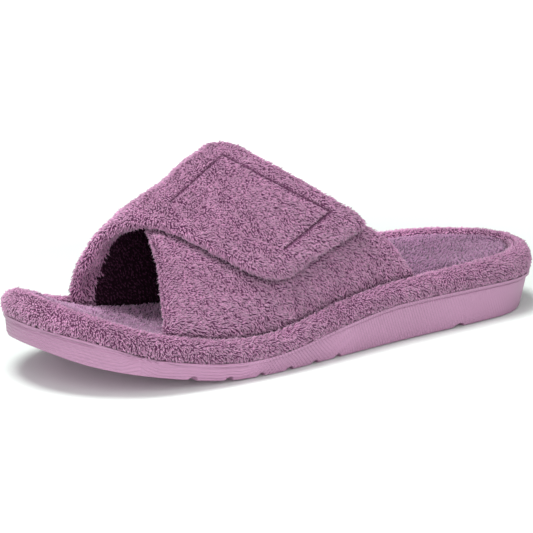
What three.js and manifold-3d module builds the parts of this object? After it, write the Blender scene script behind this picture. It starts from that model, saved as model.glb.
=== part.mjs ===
// A left scuff slipper in terry cloth: a moulded rubber outsole, a padded footbed wrapped in
// terry whose edge stands up as a soft rim, a plush insole, and an upper of two wide wings.
// The lateral wing comes up from the outer side. The medial wing crosses over the instep, lies
// on the lateral one and is held there by the hook-and-loop pad under its end.
//
// Millimetres, +Z up. The toe points along -Y and the outer (lateral) side is +X.
// The origin is on the floor, under the middle of the slipper.

import * as THREE from "three";
import { mergeVertices } from "three/addons/utils/BufferGeometryUtils.js";
import Module from "manifold-3d";

const wasm = await Module();
wasm.setup();

// Driving dimensions of the sole
const SOLE_LENGTH = 260; // toe to heel, along the top edge of the rubber
const BALL_WIDTH = 93; // across the ball, along the same edge
const TOE_SPRING = 18.1; // how far the toe's underside stands off the floor
const RUBBER_HEIGHT = 17.9; // the side of the rubber at the heel
const TOE_ROUND = 0.185; // share of the length over which the toe rounds in
const HEEL_ROUND = 0.13; // the same at the heel
const TOE_FULLNESS = 2.3; // exponent of the toe's curve, 2 is an ellipse
const HEEL_FULLNESS = 2.2;

// Outsole
const SIDE_LEAN = 2.4; // how far the side leans in towards the floor
const LEAN_AT_BAND = 0.15; // share of that lean just under the band
const BOTTOM_BEVEL = 2; // where the side meets the tread
const BEVEL_TURN = 0.3; // share of the bevel where it turns
const BAND_HEIGHT = 1.8; // raised band along the rubber's top edge
const BAND_PROUD = 0.6;
const BAND_WIDTH = 1.8; // top face of the band
const BAND_STEP = 0.25; // share of the band's height over which it stands out
const TRAY_DEPTH = 2.4; // the footbed sits this deep inside the band

// Tread grooves across the sole, seen as scallops along its lower edge
const GROOVES = 6; // under the ball of the foot
const FIRST_GROOVE = 0.204; // share of the length
const GROOVE_PITCH = 16.8; // from the first groove to the second
const PITCH_LOSS = 0.9; // each gap is that much narrower than the one before it
const GROOVE_WIDTH = 7.5;
const GROOVE_DEPTH = 2.2;
const HEEL_GROOVE = 0.77; // share of the length
const HEEL_GROOVE_WIDTH = 12;

// Footbed and insole
const RIM_HEIGHT = 11.5; // the soft rim's crest above the rubber, at the heel
const RIM_PROUD = 0.8; // the rim swells out over the rubber
const RIM_CREST_INSET = 5; // from the rubber's edge in to the rim's highest line
const RIM_FOOT_INSET = 9.5; // from the rubber's edge in to the foot of the rim
const RIM_DEPTH = 4.5; // from the crest down to the bed under the insole
const BED_HOLLOW = 2.5; // how much lower the middle of the bed is than its edge
const ARCH_LIFT = 3; // the bed's rise under the arch of the foot
const ARCH_AT = 0.55; // share of the length
const ARCH_REACH = 0.11; // share of the length
const INSOLE_THICKNESS = 2.5;
const INSOLE_MARGIN = 0.5; // between the insole's edge and the foot of the rim
const INSOLE_BEVEL = 1.2;

// Upper
const INSTEP_HEIGHT = 77.8; // inside the upper, from the floor
const WING_WALL = 5.5; // terry, foam and lining
const WING_INSET = 6.5; // from the rubber's edge in to the outer face of a wing
const WING_TUCK = 7; // a wing's foot goes this deep into the footbed
const RIDGE_X = -10; // the instep's ridge lies on the medial side
const OUTER_FULLNESS = 1.4; // exponent of the sections over the foot, on the lateral side
const INNER_FULLNESS = 2; // and on the medial side
const TIP_CORNER = 6; // corner radius of the lateral wing's hidden end
const FLAP_CORNER = 8; // corner radius of the flap, the medial wing's end
const FLAP_GAP = 0.9; // between flap and lateral wing, round the pad that joins them
const FRONT_MARGIN = 14.6; // from the flap's front edge in to the seam round the pad
const REAR_MARGIN = 13; // from its rear edge in to the seam
const END_MARGIN = 8.6; // from its end in to the seam
const PAD_LENGTH = 33.6; // along the strap
const BESIDE_SEAM = 6; // from the seam to the sections and columns beside it
const SEAM_WIDTH = 2.4;
const SEAM_DEPTH = 1.1;
const PAD_JOIN = 0.6; // the pad reaches this deep into the lateral wing, so the two are one

const CLEARANCE = 0.3; // between pieces that touch

// Mesh density
const SIDE_POINTS = 36; // round each side of the sole, toe to heel
const BED_COLUMNS = 6; // across the sole
const GROOVE_STEPS = 6;
const WING_STEPS = 13; // along a wing, up to its end or its pad
const WING_COLUMNS = 9; // across a wing
const FLAP_STEPS = 5; // along the pad
const EDGE_STEPS = 3; // round a wing's soft edge
const EDGE_FLAT = 0.15; // share of the wall that stays at the very edge
const ANGLE_STEP = 1; // degrees, for the form's normals
const SHARE_STEP = 0.004; // share of the length, for the same
const SAME_POINT = 1e-4; // vertices nearer than this are one

// One row for each section of the sole. at: share of the length from the toe. lateral, medial:
// half widths, as shares of the ball width. ground: underside off the floor, of the toe spring.
// rubber: side of the outsole, of the rubber's height. lean: of the side's lean. outer, inner:
// the rim above the rubber on either side, of the rim's height.
const SOLE = [
  { at: 0, lateral: 0.41, medial: 0.39, ground: 1, rubber: 0.52, lean: 0.1, outer: 0.91, inner: 0.9 },
  { at: 0.05, lateral: 0.455, medial: 0.425, ground: 0.71, rubber: 0.62, lean: 0.4, outer: 0.77, inner: 0.72 },
  { at: 0.15, lateral: 0.5, medial: 0.457, ground: 0.37, rubber: 0.45, lean: 1, outer: 0.83, inner: 0.74 },
  { at: 0.29, lateral: 0.533, medial: 0.467, ground: 0.034, rubber: 0.458, lean: 1, outer: 0.74, inner: 0.78 },
  { at: 0.35, lateral: 0.53, medial: 0.462, ground: 0, rubber: 0.49, lean: 1, outer: 0.7, inner: 0.78 },
  { at: 0.41, lateral: 0.517, medial: 0.444, ground: 0, rubber: 0.59, lean: 1, outer: 0.72, inner: 0.87 },
  { at: 0.49, lateral: 0.487, medial: 0.41, ground: 0, rubber: 0.79, lean: 1, outer: 0.78, inner: 1.04 },
  { at: 0.645, lateral: 0.433, medial: 0.362, ground: 0, rubber: 1, lean: 1, outer: 0.78, inner: 1.19 },
  { at: 0.8, lateral: 0.398, medial: 0.372, ground: 0, rubber: 0.985, lean: 1, outer: 0.88, inner: 1.08 },
  { at: 0.95, lateral: 0.36, medial: 0.366, ground: 0, rubber: 0.955, lean: 1.3, outer: 1.04, inner: 0.98 },
  { at: 1, lateral: 0.35, medial: 0.356, ground: 0.074, rubber: 0.877, lean: 1.8, outer: 1.1, inner: 1.06 },
];

// The soft rim's section, from the rubber up to its crest. proud: share of how far the rim
// swells out. inset: share of the crest's inset. up: share of the rim's height.
const RIM_SECTION = [
  { proud: 0.35, inset: 0, up: 0 },
  { proud: 0.9, inset: 0, up: 0.2 },
  { proud: 1, inset: 0, up: 0.42 },
  { proud: 0.55, inset: 0, up: 0.68 },
  { proud: 0, inset: 0.35, up: 0.92 },
  { proud: 0, inset: 1, up: 1 },
];
const RIM_SHOULDER = { inset: 0.6, down: 0.22 }; // between the crest and the rim's foot

// The foot's top line inside the upper, as shares of the instep's height.
const INSTEP = [
  { at: 0.152, crown: 0.503 },
  { at: 0.2, crown: 0.562 },
  { at: 0.2515, crown: 0.682 },
  { at: 0.301, crown: 0.762 },
  { at: 0.334, crown: 0.818 },
  { at: 0.367, crown: 0.896 },
  { at: 0.4, crown: 0.967 },
  { at: 0.489, crown: 1.004 },
  { at: 0.694, crown: 1.022 },
];

// The wings' edges. Each row is one section across a wing, from its foot to its free end.
// frontAngle and rearAngle go round the foot, 0 at the outer side, 90 on the ridge and 180 at
// the inner side. frontAt and rearAt are shares of the sole's length.
const LATERAL_WING = [
  { step: 0, frontAngle: 0, frontAt: 0.174, rearAngle: 0, rearAt: 0.684 },
  { step: 0.25, frontAngle: 29, frontAt: 0.195, rearAngle: 24, rearAt: 0.641 },
  { step: 0.5, frontAngle: 54, frontAt: 0.231, rearAngle: 42, rearAt: 0.546 },
  { step: 0.75, frontAngle: 73, frontAt: 0.25, rearAngle: 64, rearAt: 0.442 },
  { step: 1, frontAngle: 89, frontAt: 0.262, rearAngle: 85, rearAt: 0.38 },
];
const MEDIAL_WING = [
  { step: 0, frontAngle: 180, frontAt: 0.173, rearAngle: 180, rearAt: 0.638 },
  { step: 0.25, frontAngle: 140, frontAt: 0.175, rearAngle: 143, rearAt: 0.505 },
  { step: 0.5, frontAngle: 100, frontAt: 0.209, rearAngle: 104, rearAt: 0.411 },
  { step: 0.7, frontAngle: 71, frontAt: 0.256, rearAngle: 74, rearAt: 0.438 },
  { step: 0.85, frontAngle: 46, frontAt: 0.304, rearAngle: 51, rearAt: 0.507 },
  { step: 1, frontAngle: 22.5, frontAt: 0.382, rearAngle: 32, rearAt: 0.6 },
];
const LIFT_FROM = 145; // between these angles the medial wing rises over the lateral one
const LIFT_TO = 90;

// Numbers

const none = () => 0;
const clamp = (value, low, high) => Math.min(high, Math.max(low, value));
const mix = (a, b, t) => a + (b - a) * t;
const ease = (t) => {
  const s = clamp(t, 0, 1);
  return s * s * (3 - 2 * s);
};
const evenly = (from, to, count) => Array.from({ length: count }, (_, i) => mix(from, to, i / (count - 1)));

// A smooth curve through one column of a table, which never overshoots its rows.
function column(table, place, name) {
  const xs = table.map((row) => row[place]);
  const ys = table.map((row) => row[name]);
  const slopes = xs.slice(1).map((x, i) => (ys[i + 1] - ys[i]) / (x - xs[i]));
  const tangents = xs.map((_, i) => {
    if (i === 0) return slopes[0];
    if (i === xs.length - 1) return slopes[i - 1];
    const [before, after] = [slopes[i - 1], slopes[i]];
    return before * after <= 0 ? 0 : (2 * before * after) / (before + after);
  });
  return (at) => {
    const x = clamp(at, xs[0], xs[xs.length - 1]);
    const i = clamp(xs.findIndex((edge) => edge >= x) - 1, 0, xs.length - 2);
    const h = xs[i + 1] - xs[i];
    const t = (x - xs[i]) / h;
    const bend = t * (1 - t) * h * (tangents[i] * (1 - t) - tangents[i + 1] * t);
    return mix(ys[i], ys[i + 1], ease(t)) + bend;
  };
}

// Sizes along the sole, each at a share of its length

function sized(name, size) {
  const share = column(SOLE, "at", name);
  return (at) => share(at) * size;
}
const halfWidth = { lateral: sized("lateral", BALL_WIDTH), medial: sized("medial", BALL_WIDTH) };
const ground = sized("ground", TOE_SPRING);
const rubberSide = sized("rubber", RUBBER_HEIGHT);
const lean = sized("lean", SIDE_LEAN);
const rimHeight = { lateral: sized("outer", RIM_HEIGHT), medial: sized("inner", RIM_HEIGHT) };
const crownShare = column(INSTEP, "at", "crown");

const rubberTop = (share) => ground(share) + rubberSide(share);
const crest = (share, side) => rubberTop(share) + rimHeight[side](share);
const yOf = (share) => (share - 0.5) * SOLE_LENGTH;
const shareOf = (y) => y / SOLE_LENGTH + 0.5;

// The sole's outline

// How far the outline has rounded in at a share of the length: 0 at the tips, 1 between.
function rounding(share) {
  const toe = clamp(1 - share / TOE_ROUND, 0, 1);
  const heel = clamp(1 - (1 - share) / HEEL_ROUND, 0, 1);
  const toeCurve = (1 - toe ** TOE_FULLNESS) ** (1 / TOE_FULLNESS);
  return toeCurve * (1 - heel ** HEEL_FULLNESS) ** (1 / HEEL_FULLNESS);
}

// Points round the rubber's top edge: down the lateral side from the toe, back up the medial.
function outlinePoint(index) {
  const back = index > SIDE_POINTS;
  const step = back ? 2 * SIDE_POINTS - index : index;
  const share = (1 - Math.cos((Math.PI * step) / SIDE_POINTS)) / 2;
  const side = back ? "medial" : "lateral";
  const reach = halfWidth[side](share) * rounding(share);
  return { share, side, x: back ? -reach : reach, y: yOf(share) };
}
const OUTLINE = Array.from({ length: 2 * SIDE_POINTS }, (_, i) => outlinePoint(i));

// Unit normals of the outline, pointing out of the sole.
const NORMALS = OUTLINE.map((_, i) => {
  const next = OUTLINE[(i + 1) % OUTLINE.length];
  const last = OUTLINE[(i + OUTLINE.length - 1) % OUTLINE.length];
  return new THREE.Vector2(next.y - last.y, last.x - next.x).normalize();
});

// A ring round the sole: out moves it off the outline, height gives its Z at each point.
function ring(out, height) {
  return OUTLINE.map((p, i) => {
    const away = out(p);
    return new THREE.Vector3(p.x + NORMALS[i].x * away, p.y + NORMALS[i].y * away, height(p));
  });
}

// Solids

function geometryOf(points, faces) {
  const geometry = new THREE.BufferGeometry();
  const numbers = points.flatMap((p) => [p.x, p.y, p.z]);
  geometry.setAttribute("position", new THREE.Float32BufferAttribute(numbers, 3));
  geometry.setIndex(faces.flat());
  return geometry;
}

// A closed geometry as a solid that can be cut and joined, and back.
function solidOf(geometry) {
  const loose = geometry.index ? geometry.toNonIndexed() : geometry;
  const bare = new THREE.BufferGeometry().setAttribute("position", loose.getAttribute("position"));
  const merged = mergeVertices(bare, SAME_POINT);
  const vertProperties = merged.getAttribute("position").array;
  const triVerts = new Uint32Array(merged.getIndex().array);
  return new wasm.Manifold(new wasm.Mesh({ numProp: 3, vertProperties, triVerts }));
}
function geometryFrom(solid) {
  const mesh = solid.getMesh();
  const geometry = new THREE.BufferGeometry();
  geometry.setAttribute("position", new THREE.BufferAttribute(mesh.vertProperties.slice(), 3));
  geometry.setIndex(new THREE.BufferAttribute(mesh.triVerts.slice(), 1));
  return geometry;
}

// The walls between closed loops of equal size, each above the last.
function walls(loops, faces) {
  const count = loops[0].length;
  for (let r = 0; r < loops.length - 1; r += 1)
    for (let i = 0; i < count; i += 1) {
      const [a, b] = [r * count + i, r * count + ((i + 1) % count)];
      faces.push([a, b, b + count], [a, b + count, a + count]);
    }
}

// Closes a ring with strips across the sole. dish raises a point by where it lies: its share
// of the length, and across, which is 1 at the lateral edge and -1 at the medial one.
function cap(points, faces, first, edge, dish, facesUp) {
  const rows = evenly(0, SIDE_POINTS, SIDE_POINTS + 1).map((step) => {
    if (step === 0 || step === SIDE_POINTS) return Array(BED_COLUMNS + 1).fill(first + step);
    const opposite = 2 * SIDE_POINTS - step;
    const between = evenly(0, 1, BED_COLUMNS + 1).slice(1, -1);
    const inner = between.map((t) => {
      const p = edge[step].clone().lerp(edge[opposite], t);
      p.z += dish(OUTLINE[step].share, 1 - 2 * t);
      return points.push(p) - 1;
    });
    return [first + step, ...inner, first + opposite];
  });
  for (let step = 0; step < SIDE_POINTS; step += 1)
    for (let k = 0; k < BED_COLUMNS; k += 1) {
      const [a, b, c, d] = [rows[step][k], rows[step][k + 1], rows[step + 1][k + 1], rows[step + 1][k]];
      const real = [[a, d, c], [a, c, b]].filter((face) => new Set(face).size === 3);
      faces.push(...real.map(([x, y, z]) => (facesUp ? [x, y, z] : [x, z, y])));
    }
}

// A solid from rings stacked from the bottom to the top.
function stack(rings, bottomDish, topDish) {
  const points = rings.flat();
  const faces = [];
  const top = rings.length - 1;
  walls(rings, faces);
  cap(points, faces, 0, rings[0], bottomDish, false);
  cap(points, faces, top * OUTLINE.length, rings[top], topDish, true);
  return solidOf(geometryOf(points, faces));
}

// Outsole

const BAND_INNER = BAND_WIDTH - BAND_PROUD; // the band's inner edge, in from the outline
const belowTop = (drop) => (p) => rubberTop(p.share) - drop;

function outsole() {
  const leaning = (part, more) => (p) => -part * lean(p.share) - more * BOTTOM_BEVEL;
  const above = (lift) => (p) => ground(p.share) + lift;
  const body = stack(
    [
      ring(leaning(1, 1), above(0)),
      ring(leaning(1, BEVEL_TURN), above(BEVEL_TURN * BOTTOM_BEVEL)),
      ring(leaning(1, 0), above(BOTTOM_BEVEL)),
      ring(leaning(LEAN_AT_BAND, 0), belowTop(BAND_HEIGHT)),
      ring(() => BAND_PROUD, belowTop(BAND_HEIGHT * (1 - BAND_STEP))),
      ring(() => BAND_PROUD, belowTop(0)),
      ring(() => -BAND_INNER, belowTop(0)),
      ring(() => -BAND_INNER, belowTop(TRAY_DEPTH)),
    ],
    none,
    none,
  );
  const pitch = (i) => GROOVE_PITCH - ((i - 1) / 2) * PITCH_LOSS;
  const places = evenly(0, GROOVES - 1, GROOVES).map((i) => yOf(FIRST_GROOVE) + i * pitch(i));
  const cuts = places.map((y) => groove(y, GROOVE_WIDTH));
  cuts.push(groove(yOf(HEEL_GROOVE), HEEL_GROOVE_WIDTH));
  return body.subtract(wasm.Manifold.union(cuts));
}

// One groove right across the sole: a low arch, steeper on the side towards the heel.
function groove(y, width) {
  const half = width / 2;
  const shape = new THREE.Shape();
  shape.moveTo(-half, -GROOVE_DEPTH);
  shape.lineTo(half, -GROOVE_DEPTH);
  shape.quadraticCurveTo(0.6 * half, 3 * GROOVE_DEPTH, -half, -GROOVE_DEPTH);
  const options = { depth: 2 * BALL_WIDTH, bevelEnabled: false, curveSegments: GROOVE_STEPS };
  const bar = new THREE.ExtrudeGeometry(shape, options).translate(0, 0, -BALL_WIDTH);
  const [x, along, up] = [[1, 0, 0], [0, 1, 0], [0, 0, 1]].map((axis) => new THREE.Vector3(...axis));
  bar.applyMatrix4(new THREE.Matrix4().makeBasis(along, up, x));
  return solidOf(bar.translate(0, y, ground(shareOf(y))));
}

// Footbed and insole

const bedEdge = (p) => crest(p.share, p.side) - RIM_DEPTH;

// The bed's hollow, and its rise on the medial side under the arch.
function bedDish(share, across) {
  const middle = 1 - across ** 2;
  const near = Math.exp(-(((share - ARCH_AT) / ARCH_REACH) ** 2));
  return middle * (2 * ARCH_LIFT * near * ease(-across) - BED_HOLLOW);
}

function footbed() {
  const inTray = () => -BAND_INNER - CLEARANCE;
  const seat = (p) => rubberTop(p.share) + CLEARANCE;
  const rim = RIM_SECTION.map(({ proud, inset, up }) =>
    ring(
      () => proud * RIM_PROUD - inset * RIM_CREST_INSET,
      (p) => mix(seat(p), crest(p.share, p.side), up),
    ),
  );
  const shoulder = mix(RIM_CREST_INSET, RIM_FOOT_INSET, RIM_SHOULDER.inset);
  return stack(
    [
      ring(inTray, belowTop(TRAY_DEPTH - CLEARANCE)),
      ring(inTray, seat),
      ...rim,
      ring(() => -shoulder, (p) => crest(p.share, p.side) - RIM_SHOULDER.down * RIM_DEPTH),
      ring(() => -RIM_FOOT_INSET, bedEdge),
    ],
    none,
    bedDish,
  );
}

function insole() {
  const edge = RIM_FOOT_INSET + INSOLE_MARGIN;
  const over = (lift) => (p) => bedEdge(p) + CLEARANCE + lift;
  return stack(
    [
      ring(() => -edge, over(0)),
      ring(() => -edge, over(INSOLE_THICKNESS / 2)),
      ring(() => -edge - INSOLE_BEVEL, over(INSOLE_THICKNESS)),
    ],
    bedDish,
    bedDish,
  );
}

// The form inside the upper

// A wing's foot line at the inner face of its wall, as X at a given Y, on either side.
const FOOT_RING = ring(() => -WING_INSET - WING_WALL, none);
const FOOT_LINE = {
  lateral: FOOT_RING.slice(0, SIDE_POINTS + 1),
  medial: [FOOT_RING[0], ...FOOT_RING.slice(SIDE_POINTS).reverse()],
};
function footX(side, y) {
  const line = FOOT_LINE[side];
  const i = clamp(line.findIndex((p) => p.y >= y), 1, line.length - 1);
  return mix(line[i - 1].x, line[i].x, (y - line[i - 1].y) / (line[i].y - line[i - 1].y));
}

// A point of the form: at each Y, an arch over the foot that is flatter on the lateral side.
function formPoint(angle, share) {
  const side = angle < 90 ? "lateral" : "medial";
  const power = 2 / (side === "lateral" ? OUTER_FULLNESS : INNER_FULLNESS);
  const turn = THREE.MathUtils.degToRad(angle);
  const across = Math.abs(Math.cos(turn)) ** power;
  const up = Math.abs(Math.sin(turn)) ** power;
  const y = yOf(share);
  const x = mix(RIDGE_X, footX(side, y), across);
  return new THREE.Vector3(x, y, mix(crest(share, side), crownShare(share) * INSTEP_HEIGHT, up));
}

function formNormal(angle, share) {
  const a = clamp(angle, 2 * ANGLE_STEP, 180 - 2 * ANGLE_STEP);
  const round = formPoint(a + ANGLE_STEP, share).sub(formPoint(a - ANGLE_STEP, share));
  const along = formPoint(a, share + SHARE_STEP).sub(formPoint(a, share - SHARE_STEP));
  return along.cross(round).normalize();
}

// Wings

const lengthOf = (points) => points.slice(1).reduce((sum, p, i) => sum + p.distanceTo(points[i]), 0);

// Distances from an edge of a soft wall, close together where it rounds off.
const SOFT = WING_WALL / 2;
const EDGE = evenly(0, Math.PI / 2, EDGE_STEPS + 1).map((turn) => SOFT * (1 - Math.cos(turn)));
const acrossWing = (width, between) => [...EDGE, ...between, ...EDGE.map((d) => width - d).reverse()];
const toWingEnd = (run) => EDGE.map((d) => run - d).reverse();

// Share of a soft wall's thickness at a distance from its edge.
function fullness(distance) {
  const t = 1 - clamp(distance / SOFT, 0, 1);
  return Math.max(EDGE_FLAT, Math.sqrt(1 - t * t));
}

// A wing is lofted from sections across it. Each section is a closed loop: along the outer
// face from the front edge to the rear edge, and back along the inner face. steps gives their
// distances along the wing, and columns the distances of a loop's points from the front edge.
// lift raises the wing off the form, dent sinks its outer face and hang lowers its inner one.
// grow makes the same wing larger all round, for the slot that its foot stands in.
function wing({ table, grow, corner, steps, columns, lift = none, dent = none, hang = none }) {
  const names = ["frontAngle", "frontAt", "rearAngle", "rearAt"];
  const [frontAngle, frontAt, rearAngle, rearAt] = names.map((name) => column(table, "step", name));
  const angleAt = (u, v) => mix(frontAngle(u), rearAngle(u), v);
  const place = (u, v, height) => {
    const angle = angleAt(u, v);
    const share = mix(frontAt(u), rearAt(u), v);
    return formPoint(angle, share).addScaledVector(formNormal(angle, share), height);
  };
  const run = lengthOf(evenly(0, 1, 2 * SIDE_POINTS).map((u) => place(u, 0.5, SOFT)));

  const section = (along, sunk) => {
    const u = along / run;
    const toEnd = run - along;
    const width = place(u, 0, SOFT).distanceTo(place(u, 1, SOFT));
    const cut = toEnd < corner ? corner - Math.sqrt(corner ** 2 - (corner - toEnd) ** 2) : 0;
    const clear = width - 2 * cut;
    const outer = [];
    const inner = [];
    for (const full of columns(width)) {
      const distance = (full * clear) / width;
      const across = cut + distance;
      const v = (across + grow * ((2 * distance) / clear - 1)) / width;
      const half = SOFT * Math.min(fullness(toEnd), fullness(Math.min(distance, clear - distance)));
      const middle = lift(angleAt(u, v)) + SOFT;
      const spot = { along, run, across, width };
      outer.push(place(u, v, middle + half + grow - dent(spot)));
      inner.push(place(u, v, middle - half - grow - hang(spot)));
    }
    const loop = [...outer, ...inner.reverse()];
    for (const p of loop) p.z -= sunk;
    return loop;
  };
  return loft([section(0, WING_TUCK + grow), ...steps(run).map((along) => section(along, 0))]);
}

// Joins sections into a solid, and closes its two ends with strips between the two faces.
function loft(loops) {
  const count = loops[0].length;
  const faces = [];
  walls(loops, faces);
  const close = (first, flip) => {
    for (let i = 0; i < count / 2 - 1; i += 1) {
      const [a, b, c, d] = [i, i + 1, count - i - 2, count - i - 1].map((k) => first + k);
      const pair = [[a, d, c], [a, c, b]];
      faces.push(...pair.map(([x, y, z]) => (flip ? [x, z, y] : [x, y, z])));
    }
  };
  close(0, false);
  close((loops.length - 1) * count, true);
  const made = solidOf(geometryOf(loops.flat(), faces));
  if (made.volume() > 0) return made;
  // A wing that starts on the medial side comes out with its faces turned in.
  return solidOf(geometryOf(loops.flat(), faces.map(([x, y, z]) => [x, z, y])));
}

function lateralWing(grow = 0) {
  return wing({
    table: LATERAL_WING,
    grow,
    corner: TIP_CORNER,
    steps: (run) => [...evenly(0, run - TIP_CORNER, WING_STEPS), ...toWingEnd(run)],
    columns: (width) => acrossWing(width, evenly(WING_WALL, width - WING_WALL, WING_COLUMNS)),
  });
}

// The medial wing ends in the flap. A seam runs round the hook-and-loop pad, which reaches
// down to the lateral wing, and the rest of the flap stays clear of it.
function medialWing(grow = 0) {
  const half = SEAM_WIDTH / 2;
  const padStart = (run) => run - END_MARGIN - PAD_LENGTH;
  const padEnd = (run) => run - END_MARGIN;
  // How far a spot lies outside the pad, negative inside it.
  const outsidePad = ({ along, run, across, width }) => {
    const aside = Math.max(FRONT_MARGIN - across, across - width + REAR_MARGIN);
    return Math.max(padStart(run) - along, along - padEnd(run), aside);
  };
  const line = (at) => [at - half, at, at + half];
  return wing({
    table: MEDIAL_WING,
    grow,
    corner: FLAP_CORNER,
    lift: (angle) => (WING_WALL + FLAP_GAP) * ease((LIFT_FROM - angle) / (LIFT_FROM - LIFT_TO)),
    dent: (spot) => (grow ? 0 : SEAM_DEPTH * (1 - ease(Math.abs(outsidePad(spot)) / half))),
    hang: (spot) => (grow ? 0 : (FLAP_GAP + PAD_JOIN) * ease(-outsidePad(spot) / half)),
    steps: (run) => {
      const [start, end] = [padStart(run), padEnd(run)];
      return [
        ...evenly(0, start - BESIDE_SEAM, WING_STEPS),
        ...line(start),
        ...evenly(start + BESIDE_SEAM, end - BESIDE_SEAM, FLAP_STEPS),
        ...line(end),
        ...toWingEnd(run),
      ];
    },
    columns: (width) => {
      const [from, to] = [FRONT_MARGIN, width - REAR_MARGIN];
      const between = evenly(from + BESIDE_SEAM, to - BESIDE_SEAM, WING_COLUMNS - 2);
      return acrossWing(width, [from / 2, ...line(from), ...between, ...line(to)]);
    },
  });
}

// Assembly

const LOOKS = {
  terry: { color: 0xa5709b, roughness: 0.95 },
  plush: { color: 0x8f708c, roughness: 0.95 },
  rubber: { color: 0xb780b0, roughness: 0.55 },
};

function piece(name, solid, look) {
  const material = new THREE.MeshStandardMaterial({ name: look, metalness: 0, ...LOOKS[look] });
  const mesh = new THREE.Mesh(geometryFrom(solid), material);
  mesh.name = name;
  return mesh;
}

// The wings' feet stand in slots between the rim and the insole.
const feet = lateralWing(CLEARANCE).add(medialWing(CLEARANCE));

const slipper = new THREE.Group();
slipper.name = "scuff_slipper";
slipper.add(
  piece("outsole", outsole(), "rubber"),
  piece("footbed", footbed().subtract(feet), "terry"),
  piece("insole", insole().subtract(feet), "plush"),
  piece("upper", lateralWing().add(medialWing()), "terry"),
);

// The origin goes to the floor under the middle of the whole slipper.
const bounds = new THREE.Box3().setFromObject(slipper);
const middle = bounds.getCenter(new THREE.Vector3());
slipper.position.set(-middle.x, -middle.y, -bounds.min.z);

export default slipper;
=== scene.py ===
# %% [markdown]
# # A terry slipper, dressed over its solids
#
# The solids of one left scuff slipper are ready: a rubber outsole, a padded footbed, an insole
# and an upper of two crossed wings. They have the right shape and size, but flat facets and no
# surface. This script loads them as a fixed frame and dresses each one, in metres and in place.

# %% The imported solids
from math import cos, pi, radians, sin

import bmesh
import bpy
import numpy as np
from mathutils import Matrix, Vector
from mathutils.bvhtree import BVHTree


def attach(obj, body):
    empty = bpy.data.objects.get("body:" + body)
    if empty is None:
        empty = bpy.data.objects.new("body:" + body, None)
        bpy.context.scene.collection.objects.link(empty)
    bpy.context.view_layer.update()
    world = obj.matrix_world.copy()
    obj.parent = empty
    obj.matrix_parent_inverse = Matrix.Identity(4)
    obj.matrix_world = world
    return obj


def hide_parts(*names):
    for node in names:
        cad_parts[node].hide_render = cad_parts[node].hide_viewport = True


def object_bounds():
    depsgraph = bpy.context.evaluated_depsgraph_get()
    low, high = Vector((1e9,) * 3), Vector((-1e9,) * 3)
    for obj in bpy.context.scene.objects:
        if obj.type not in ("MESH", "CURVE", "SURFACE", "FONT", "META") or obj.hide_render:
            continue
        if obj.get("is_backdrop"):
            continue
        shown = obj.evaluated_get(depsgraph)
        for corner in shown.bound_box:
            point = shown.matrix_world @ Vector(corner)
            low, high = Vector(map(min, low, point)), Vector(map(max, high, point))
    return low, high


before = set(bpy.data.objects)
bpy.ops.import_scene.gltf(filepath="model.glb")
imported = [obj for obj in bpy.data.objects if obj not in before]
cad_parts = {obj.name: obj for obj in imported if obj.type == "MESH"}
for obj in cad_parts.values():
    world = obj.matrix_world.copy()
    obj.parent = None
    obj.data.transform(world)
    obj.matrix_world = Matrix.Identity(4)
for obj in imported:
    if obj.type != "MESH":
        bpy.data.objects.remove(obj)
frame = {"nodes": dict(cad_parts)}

MM = 0.001
TINY = 1e-9
cad_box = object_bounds()
print("solids:", ", ".join(frame["nodes"]))
print("size in mm:", [round((high - low) / MM, 1) for low, high in zip(*cad_box)])

# %% [markdown]
# ## The camera
#
# A product photograph is taken from far away with a long lens, which keeps lines nearly
# parallel. The place and the lens below come from matching points of the slipper to the
# photograph: 55 degrees round from the toe, 14 degrees up, just under one metre away. The
# camera looks at a point inside the slipper, and its axes are worked out from the two angles.

# %% Camera
VIEW_AZIMUTH = radians(54.6)
VIEW_ELEVATION = radians(13.9)
VIEW_DISTANCE = 975 * MM
VIEW_TARGET = Vector((-4.51, -6.85, 31.7)) * MM
IMAGE_SIZE = 533
FOCAL_PIXELS = 2265
SENSOR = 36

across = Vector((cos(VIEW_AZIMUTH), sin(VIEW_AZIMUTH), 0))
level = Vector((sin(VIEW_AZIMUTH), -cos(VIEW_AZIMUTH), 0))
back = level * cos(VIEW_ELEVATION) + Vector((0, 0, sin(VIEW_ELEVATION)))
up = back.cross(across)
eye = VIEW_TARGET + back * VIEW_DISTANCE

lens = bpy.data.cameras.new("camera")
lens.sensor_width = SENSOR
lens.lens = FOCAL_PIXELS / IMAGE_SIZE * SENSOR
camera = bpy.data.objects.new("camera", lens)
turn = Matrix((across, up, back)).transposed().to_4x4()
camera.matrix_world = Matrix.Translation(eye) @ turn
bpy.context.collection.objects.link(camera)
bpy.context.scene.camera = camera
print("lens in mm:", round(lens.lens, 1))

# %% [markdown]
# ## A few words for shaders
#
# A material is a graph: nodes, values on their sockets, and wires between them. Written out in
# full, each node takes three or four lines, and the idea behind a finish is lost among them.
# These helpers add one node each, with its sockets already set or wired, so that a material
# further down reads like a recipe. A value may be a plain number or another node's output.

# %% Adding and wiring nodes
def new_material(name):
    material = bpy.data.materials.new(name)
    material.use_nodes = True
    return material


def principled(material):
    return material.node_tree.nodes["Principled BSDF"]


def feed(tree, sockets, values):
    """Sets each named socket to a value, or wires it to another node's output."""
    for name, value in values.items():
        if isinstance(value, bpy.types.NodeSocket):
            tree.links.new(value, sockets[name])
        else:
            sockets[name].default_value = value


def add_node(tree, kind, values, **settings):
    node = tree.nodes.new("ShaderNode" + kind)
    for name, value in settings.items():
        setattr(node, name, value)
    feed(tree, node.inputs, values)
    return node


# %% One word for each kind of node
def computed(tree, operation, *values):
    return add_node(tree, "Math", dict(enumerate(values)), operation=operation).outputs[0]


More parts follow.
